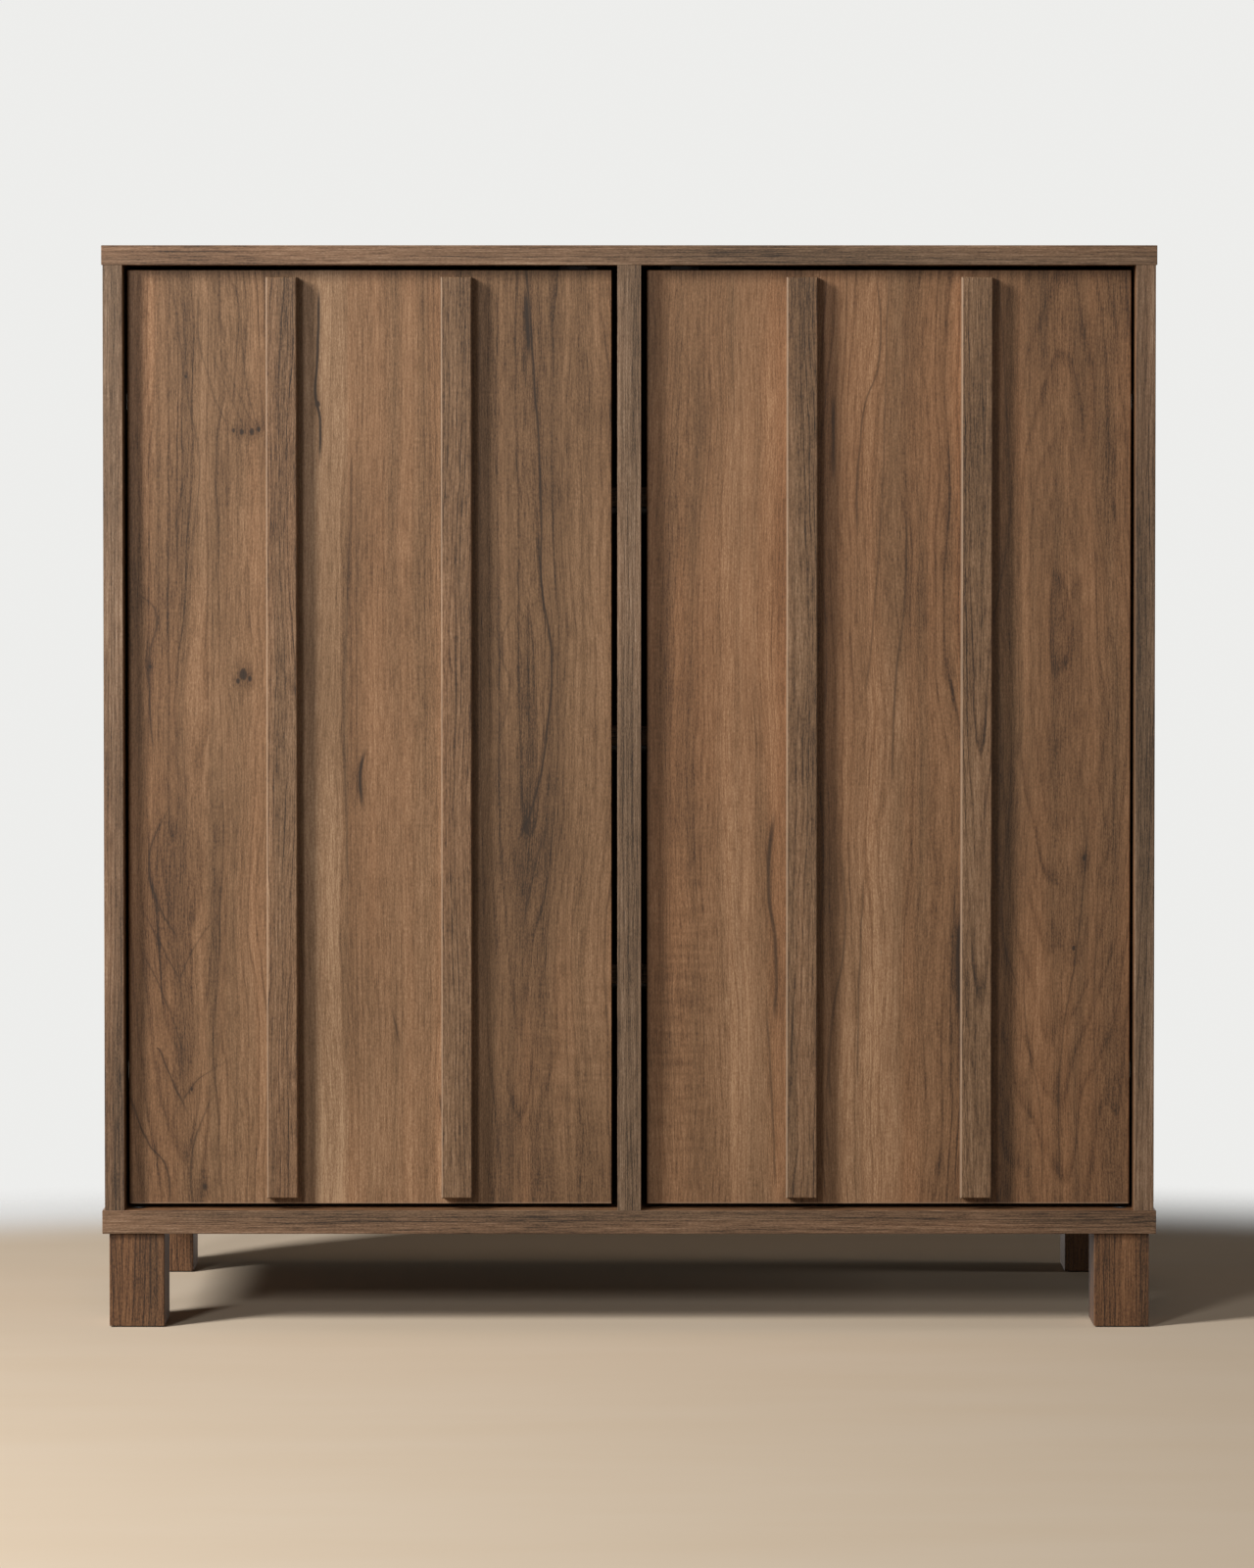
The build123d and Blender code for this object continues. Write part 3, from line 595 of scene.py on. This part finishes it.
rightFigure = {
    "planks": [plank(112, (-260, 350), 0.02, 4.0, 0.2, 0.0, 0.7),
               plank(196, (10, 700), 0.05, 6.6, 0.34, -0.01, 0.4),
               plank(258, (-40, 900), 0.05, 7.2, 0.3, -0.03, 0.5),
               plank(400, (314, 440), 0.15, 8.0, 0.22, -0.09, 0.5, 1000.0)],
    "knots": [((334, 265), 2.2), ((241, 157), 2.6), ((326, 196), 1.6)],
    "lines": [
        (((176, 700), (176, 640), (166, 610), (161, 560), (160, 520)), 0.7, 0.65),
        (((184, 705), (181, 600), (178, 520), (172, 440), (168, 400)), 0.7, 0.5),
        (((198, 520), (196, 460), (190, 400), (187, 330)), 0.9, 0.65),
        (((165, 240), (162, 160), (161, 100)), 0.8, 0.6),
        (((149, 260), (151, 200), (140, 130), (140, 85)), 0.9, 0.55),
        (((142, 610), (142, 560)), 1.3, 0.9),
        (((96, 290), (93, 240), (98, 200), (98, 150)), 1.5, 0.85),
        (((92, 140), (95, 90), (98, 20)), 0.9, 0.6),
        (((240, 210), (237, 180), (241, 150)), 1.8, 1.0),
        (((268, 700), (276, 560), (276, 520), (266, 460), (250, 410)), 0.7, 0.5),
        (((336, 280), (333, 240), (328, 190), (318, 130), (315, 90), (316, 20)), 0.7, 0.55),
        (((278, 330), (276, 290), (272, 210), (282, 170)), 0.8, 0.5),
        (((288, 180), (292, 120), (300, 80), (302, 10)), 0.6, 0.4),
        (((344, 230), (342, 120), (344, 60)), 0.6, 0.4)],
    "shadesAndPaintedBounce": [((314, 440), (22, 60), -0.1), ((240, 170), (16, 90), -0.12),
               ((98, 200), (14, 120), -0.08), ((75, 350), (26, 420), 0.05),
               ((20, 300), (30, 380), -0.04), ((172, 120), (30, 230), 0.17),
               # this spot, broad and low, is painted bounce light that lightens the door towards its
               # bottom
               ((110, 60), (170, 300), 0.08)],
    "ripples": [((20, 140), (50, 160), 0.5), ((330, 640), (60, 120), 0.12)],
    "pale": [(150, 197, 0.08, 6.0), (58, 92, 0.06, 0.0)],
}


def shifted(figure, start):
    # a door's figure moved to the door's own place
    def at(spot):
        return (spot[0] + start, spot[1] + doorFoot)
    return dict(figure, **{
        "start": (start, doorFoot),
        "size": (doorWide, doorTall),
        "planks": [dict(p, upTo=p["upTo"] + start, heartAcross=p["heartAcross"] + start,
                        heartAlong=p["heartAlong"] + doorFoot) for p in figure["planks"]],
        "knots": [(at(spot), size) for spot, size in figure["knots"]],
        "shadesAndPaintedBounce": [(at(spot), size, amount) for spot, size, amount in figure["shadesAndPaintedBounce"]],
        "ripples": [(at(spot), size, amount) for spot, size, amount in figure["ripples"]],
        "pale": [(a + start, b + start, amount, sharp) for a, b, amount, sharp in figure["pale"]],
    })


# each kind of piece: where its noise starts, the step to the next piece, and the seed of its planks
starts = {
    "door": (1.7, 9.6, None),
    "batten": (20.0, 3.1, None),
    "side": (31.0, 4.0, 5),
    "divider": (43.0, 0.0, 9),
    "end": (51.0, 5.0, 14),
    "back": (63.0, 0.0, 21),
    "shelf": (70.0, 2.3, 30),
    "leg": (90.0, 3.0, None),
}
# where each kind's free planks begin and end across, and their middle along the fibres, in mm
stretches = {
    "side": (-200, 200, 450),
    "divider": (-200, 200, 450),
    "end": (-200, 200, 0),
    "back": (-400, 400, 450),
    "shelf": (-180, 200, 0),
}
# a narrow piece's only plank: where its heart lies from the piece's left edge and the floor, and
# the step from one piece's to the next
narrowPlanks = {
    "batten": dict(heart=(-45, 300), step=(20, 130), lean=0.04, ring=3.4, lines=0.45, tone=0.02,
                   red=0.15),
    "leg": dict(heart=(-50, 40), step=(30, 0), lean=0.05, ring=4.2, lines=0.4, tone=0.0, red=0.8),
}
battenLook = dict(walnut, fibre=1.445, streak=0.56, wander=4.0, relief=0.35, pores=0.13, lift=-0.09)
edgeLook = dict(walnut, fibre=1.53, streak=0.8, wander=3.0, lift=-0.09)
sideLook = dict(edgeLook, lift=-0.14)
topLook = dict(edgeLook, lift=-0.1)
baseLook = dict(edgeLook, lift=-0.13)
legLook = dict(walnut, fibre=1.19, streak=0.56, cloud=0.32, wander=3.0, lift=-0.24)
# pale lines along edges, partly the edge band's own pale line and partly a painted highlight where the
# eased edge catches the light: their limits in mm from the edge, and how much paler
paleEdgesAndHighlights = {
    "door": (-1.0, 1.0, 0.5),
    "batten": (-0.5, 1.0, 0.6),
    "divider": (-0.8, 1.0, 0.3),
}
# mm of a board's depth: its edge band, the raw chips at its rear, and the back panel's raw rear
bandDepth = 0.5
shelfBandDepth = 0.4
cutDepth = 0.2
rearDepth = 1.0


def noiseStart(kind, index=0):
    first, step = starts[kind][:2]
    return first + step * index


def planksOf(kind, index=0):
    return freePlanks(starts[kind][2] + index, *stretches[kind])


def narrowPlank(kind, low, index):
    values = dict(narrowPlanks[kind])
    (besideHeart, aboveFloor), (besideStep, upStep) = values.pop("heart"), values.pop("step")
    heart = (low + besideHeart + besideStep * index, aboveFloor + upStep * index)
    return [plank(low, heart, **values)]


def paleEdgeAndHighlight(kind, axis, edge):
    before, after, amount = paleEdgesAndHighlights[kind]
    return axis, edge + before, edge + after, amount


def finishDoors():
    for index, (side, figure) in enumerate((("left", shifted(leftFigure, leftStart)),
                                            ("right", shifted(rightFigure, rightStart)))):
        dress([f"door_panel_{side}"],
              walnutFinish(f"door_{side}_walnut", "zx", figure["planks"],
                           seed=noiseStart("door", index), deepFrom=doorFace, plan=figure,
                           rub=paleEdgeAndHighlight("door", "z", doorFoot)))


def finishBattens():
    for index, name in enumerate(["batten_left_outer", "batten_left_inner", "batten_right_inner",
                                  "batten_right_outer"]):
        low = edgeOf(name, 0, "x")
        dress([name],
              walnutFinish(f"{name}_walnut", "zx", narrowPlank("batten", low, index), battenLook,
                           noiseStart("batten", index), edgeOf(name, 0, "y"), edgeShare=0.3,
                           rub=paleEdgeAndHighlight("batten", "x", low)))


def finishCarcass():
    band, cut = carcassFront + bandDepth, carcassRear - cutDepth
    for index, side in enumerate(("left", "right")):
        name = f"side_panel_{side}"
        dress([name], walnutFinish(f"side_{side}_walnut", "zy", planksOf("side", index), sideLook,
                                   noiseStart("side", index), edgeOf(name, 0, "x"), edgeBand=band,
                                   rawRear=cut))
    dress(["centre_divider"],
          walnutFinish("divider_walnut", "zy", planksOf("divider"), edgeLook, noiseStart("divider"),
                       edgeOf("centre_divider", 0, "x"), edgeBand=band,
                       rub=paleEdgeAndHighlight("divider", "x", edgeOf("centre_divider", 1, "x"))))
    for index, (name, look) in enumerate((("top_panel", topLook), ("base_panel", baseLook))):
        dress([name], walnutFinish(f"{name}_walnut", "xy", planksOf("end", index), look,
                                   noiseStart("end", index), edgeOf(name, 1, "z"), edgeBand=band,
                                   rawRear=cut))
    dress(["back_panel"],
          walnutFinish("back_walnut", "zx", planksOf("back"), seed=noiseStart("back"),
                       deepFrom=edgeOf("back_panel", 0, "y"),
                       rawFace=edgeOf("back_panel", 1, "y") - rearDepth))


def finishShelves():
    for index, name in enumerate(n for n in nodes if n.startswith("shelf_") and n != "shelf_pins"):
        dress([name], walnutFinish(f"{name}_walnut", "xy", planksOf("shelf", index), edgeLook,
                                   noiseStart("shelf", index), edgeOf(name, 1, "z"),
                                   edgeBand=edgeOf(name, 0, "y") + shelfBandDepth,
                                   rawRear=edgeOf(name, 1, "y") - cutDepth))


def finishLegs():
    legs = [n for n in nodes if n.startswith("leg_") and n not in ("leg_pads", "leg_screws")]
    for index, name in enumerate(legs):
        low = edgeOf(name, 0, "x")
        dress([name], walnutFinish(f"{name}_walnut", "zx", narrowPlank("leg", low, index), legLook,
                                   noiseStart("leg", index), edgeOf(name, 0, "y")))


finishDoors()
print("doors finished")
finishBattens()
print("battens finished")
finishCarcass()
finishShelves()
finishLegs()
print("carcass, shelves and legs finished")

# bare metals; scratch is how uneven one is
metals = {
    "nickel": dict(color=paint(196, 192, 184), scratch=0.08, roughness=0.3),
    "zinc": dict(color=paint(176, 178, 180), scratch=0.12, roughness=0.36),
    # the shelf pins are painted darker than their bright zinc: painted shade, so that seen through the
    # door gaps they stay dark
    "pinSteelPaintedShade": dict(color=paint(112, 112, 114), scratch=0.12, roughness=0.52),
    "castZinc": dict(color=paint(150, 150, 152), scratch=0.18, roughness=0.48),
    "springSteel": dict(color=paint(140, 140, 142), scratch=0.1, roughness=0.32),
}
# steps are per mm along x, y and z; a relief is its strength, and its depth in metres
metalSurface = {
    "tarnish": paint(96, 94, 92),
    "tarnishShare": 3,          # times the scratch
    "rubSteps": (4, 0.6, 4),
    "cloudSteps": (0.2, 0.2, 0.2),
    "cloudRoughness": 0.1,
    "relief": (0.1, 0.0001),
}
plastics = {
    "housing": dict(colors=(paint(60, 51, 45), paint(48, 41, 37)), roughness=0.42),
    "plunger": dict(colors=(paint(214, 210, 202), paint(198, 193, 184)), roughness=0.34),
}
plasticSurface = {
    "pebbleSteps": (3.2, 3.2, 3.2),
    "pebbleRoughness": 0.12,
    "cloudSteps": (0.15, 0.15, 0.15),
    "cloudShare": 0.6,
    "relief": (0.2, 0.0001),
}
felt = {
    "colors": (paint(44, 38, 34), paint(84, 76, 70)),
    "hairSteps": (2.4, 2.4, 2.4),
    "relief": (0.8, 0.0003),
}
beech = {
    "colors": (paint(186, 150, 108), paint(222, 190, 148)),
    "fleckSteps": (2.2, 2.2, 0.5),
    "fluteSteps": (1.2, 1.2, 0.05),
    "relief": (0.4, 0.0003),
}


def overall(wire, steps, detail=2.0, roughness=0.5):
    # a noise over the whole piece
    spots = (spot * step for spot, step in zip(place(wire), steps))
    return wire.noise(*spots, detail, roughness)


def metalFinish(name, look):
    material, wire, shader = newFinish(name, Metallic=1.0)
    rub = overall(wire, metalSurface["rubSteps"], 3.0, 0.6)
    cloudy = overall(wire, metalSurface["cloudSteps"])
    dull = cloudy * (look["scratch"] * metalSurface["tarnishShare"])
    link(wire.blend(dull, look["color"], metalSurface["tarnish"]), shader, "Base Color")
    uneven = rub.swing(look["scratch"] * 2) + cloudy.swing(metalSurface["cloudRoughness"])
    link(uneven + look["roughness"], shader, "Roughness")
    bump(wire, shader, rub, *metalSurface["relief"])
    return material


def plasticFinish(name, look):
    material, wire, shader = newFinish(name)
    pebble = overall(wire, plasticSurface["pebbleSteps"])
    cloudy = overall(wire, plasticSurface["cloudSteps"])
    link(wire.blend(cloudy * plasticSurface["cloudShare"], *look["colors"]), shader, "Base Color")
    link(pebble * plasticSurface["pebbleRoughness"] + look["roughness"], shader, "Roughness")
    bump(wire, shader, pebble, *plasticSurface["relief"])
    return material


def feltFinish():
    material, wire, shader = newFinish("pad_felt", Roughness=0.95)
    hairs = overall(wire, felt["hairSteps"], 5.0, 0.75)
    link(wire.blend(hairs, *felt["colors"]), shader, "Base Color")
    bump(wire, shader, hairs, *felt["relief"])
    return material


def beechFinish():
    material, wire, shader = newFinish("dowel_beech", Roughness=0.6)
    fleck = overall(wire, beech["fleckSteps"], 3.0, 0.6)
    link(wire.blend(fleck, *beech["colors"]), shader, "Base Color")
    bump(wire, shader, overall(wire, beech["fluteSteps"], 1.0), *beech["relief"])
    return material


metalFinishes = {key: metalFinish(f"{key}_metal", look) for key, look in metals.items()}
dress([n for n in nodes if n.startswith("hinge_") and "screws" not in n], metalFinishes["nickel"])
dress([n for n in nodes if "screws" in n] + ["cam_bolts", "latch_strike_left", "latch_strike_right"],
      metalFinishes["zinc"])
# the pins get the darkened steel: painted shade in the gaps beside the divider
dress(["shelf_pins"], metalFinishes["pinSteelPaintedShade"])
dress(["cam_locks"], metalFinishes["castZinc"])
for kind, look in plastics.items():
    dress([f"latch_{kind}_left", f"latch_{kind}_right"], plasticFinish(f"{kind}_plastic", look))
dress(["leg_pads"], feltFinish())
dress(["dowels"], beechFinish())
print("hardware finished")

spring = {
    "wire": 0.00035,        # the wire's radius in metres
    "turns": 14,
    "facets": 20,           # along one turn
    "wireFacets": 8,
}


def meshObject(name, shape):
    # a bmesh as an object in the scene
    thing = bpy.data.objects.new(name, bpy.data.meshes.new(name))
    shape.to_mesh(thing.data)
    shape.free()
    bpy.context.collection.objects.link(thing)
    return thing


def windSpring(side):
    # a coil drawn in place of a latch's spring, within the spring's box
    node = f"latch_spring_{side}"
    press = next(j for j in frame["joints"] if j["name"] == f"latch_{side}_press")
    low, high = (Vector(corner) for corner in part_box(node))
    steps = spring["turns"] * spring["facets"]
    length = high.y - low.y
    climb = (length - 2 * spring["wire"]) / steps
    coilRadius = (high.x - low.x) / 2 - spring["wire"]
    middle = (low + high) / 2
    coil = bmesh.new()
    bmesh.ops.create_circle(coil, segments=spring["wireFacets"], radius=spring["wire"])
    bmesh.ops.translate(coil, verts=coil.verts[:], vec=(coilRadius, 0, 0))
    bmesh.ops.spin(coil, geom=coil.verts[:] + coil.edges[:], cent=(0, 0, 0), axis=(0, 1, 0),
                   dvec=(0, climb, 0), angle=math.tau * spring["turns"], steps=steps)
    bmesh.ops.holes_fill(coil, edges=coil.edges[:], sides=spring["wireFacets"])
    bmesh.ops.recalc_face_normals(coil, faces=coil.faces[:])
    bmesh.ops.translate(coil, verts=coil.verts[:], vec=(middle.x, low.y + spring["wire"], middle.z))
    for face in coil.faces:
        face.smooth = len(face.verts) == 4
    piece = meshObject(f"pressed_spring_{side}", coil)
    piece.data.materials.append(metalFinishes["springSteel"])
    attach(piece, "carcass")
    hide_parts(node)
    1 - press["range_m"][1] / length
    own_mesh(piece)


for side in ("left", "right"):
    windSpring(side)
print("springs wound")

# the studio's floor, backdrop and lights
studio = {
    "floorColors": (paint(224, 203, 176), paint(230, 212, 189)),
    "floorSteps": (0.003, 0.012),           # per mm, along x and y
    "floorRadius": 6.0,                     # metres
    "floorMiddle": 1600,                    # mm in front of the part
    "floorReach": 2450,                     # mm from there to where nothing of the floor is left
    "farColor": paint(253, 251, 248),
    "farRise": (0.79, 0.89),                # shares of the reach over which the far colour comes in
    "clearRise": (0.81, 0.955),             # and over which the floor fades out
    "bounceColor": paint(30, 28, 26),
    "bounceLoss": 0.75,
    "backColor": (0.85, 0.85, 0.835, 1.0),
    "worldColor": (1.0, 0.985, 0.96, 1.0),
    "worldLight": 0.036,
    "aim": (0.0, 0.0, 0.42),
}
lamps = {
    # each lamp's place, its width and height in metres, and its watts
    "tallLamp": ((-2.35, -1.74, 1.98), (0.6, 1.0), 102.0),
    "frontLamp": ((-1.9, -4.2, 1.85), (0.7, 0.7), 52.5),
    "backLamp": ((-0.6, 3.2, 0.22), (2.0, 0.3), 12.0),
    "sideLamp": ((3.0, 0.0, 0.6), (0.5, 0.9), 13.0),
}


def layFloor():
    disc = bmesh.new()
    bmesh.ops.create_circle(disc, cap_ends=True, segments=96, radius=studio["floorRadius"])
    floor = meshObject("studio_floor", disc)
    material, wire, shader = newFinish("floor_pale", Roughness=0.6, Specular_IOR_Level=0.0)
    x, y, z = place(wire)
    besideSteps, aheadSteps = studio["floorSteps"]
    warm = wire.blend(wire.noise(x * besideSteps, y * aheadSteps, z, 3.0), *studio["floorColors"])
    reach = studio["floorReach"]
    away = ((x / reach) ** 2 + ((y + studio["floorMiddle"]) / reach) ** 2) ** 0.5
    color = wire.blend(away.rise(*studio["farRise"]), warm, studio["farColor"])
    # the floor gives back less light than it shows, so that shadows on the cabinet stay deep
    bounced = wire.add("LightPath", output="Is Diffuse Ray")
    link(wire.blend(bounced * studio["bounceLoss"], color, studio["bounceColor"]), shader, "Base Color")
    output = next(n for n in wire.tree.nodes if n.type == "OUTPUT_MATERIAL")
    clear = wire.add("BsdfTransparent")
    pale = Wire(wire.tree, shader.outputs[0])
    both = wire.add("MixShader", None, {0: away.rise(*studio["clearRise"]), 1: pale, 2: clear})
    link(both, output, "Surface")
    floor.data.materials.append(material)


def hangLamp(name, spot, size, power):
    lamp = bpy.data.lights.new(name, "AREA")
    lamp.shape = "RECTANGLE"
    lamp.size, lamp.size_y = size
    lamp.energy = power
    holder = bpy.data.objects.new(name, lamp)
    bpy.context.collection.objects.link(holder)
    holder.location = spot
    holder.rotation_euler = (Vector(studio["aim"]) - Vector(spot)).to_track_quat("-Z", "Y").to_euler()
    holder.visible_camera = False


def paintWorld():
    # camera and mirror rays see the backdrop, and the other rays a dim light
    world = bpy.data.worlds.new("studio_world")
    bpy.context.scene.world = world
    world.use_nodes = True
    world.node_tree.nodes.clear()
    wire = Wire(world.node_tree)
    light = wire.add("Background", None, {"Color": studio["worldColor"],
                                          "Strength": studio["worldLight"]})
    seen = wire.add("Background", None, {"Color": studio["backColor"], "Strength": 1.0})
    rays = wire.add("LightPath", output="Is Camera Ray")
    shown = (rays + rays.other("Is Glossy Ray") + rays.other("Is Transmission Ray")).clamped()
    both = wire.add("MixShader", None, {0: shown, 1: light, 2: seen})
    wire.add("OutputWorld", None, {"Surface": both})


layFloor()
for name, lamp in lamps.items():
    hangLamp(name, *lamp)
paintWorld()

view = {
    "distance": 4.37,       # metres from the carcass front to the camera
    "height": 0.675,
    "aside": -0.0017,
    "focus": 3.6675,        # focal length, in heights of the frame
    "horizonRise": 0.2175,  # from the frame's middle up to the horizon, in heights of the frame
    "shift": -0.11,
}


def setCamera():
    camera = bpy.data.cameras.new("camera")
    camera.lens = view["focus"] * camera.sensor_width
    camera.shift_y = view["shift"]
    tilt = math.atan((view["horizonRise"] + view["shift"]) / view["focus"])
    holder = bpy.data.objects.new("camera", camera)
    bpy.context.collection.objects.link(holder)
    holder.location = (view["aside"], carcassFront / mmPerMetre - view["distance"], view["height"])
    holder.rotation_euler = (math.radians(90) - tilt, 0, 0)
    bpy.context.scene.camera = holder
    bpy.context.scene.view_settings.view_transform = "Standard"


setCamera()
print("studio ready")
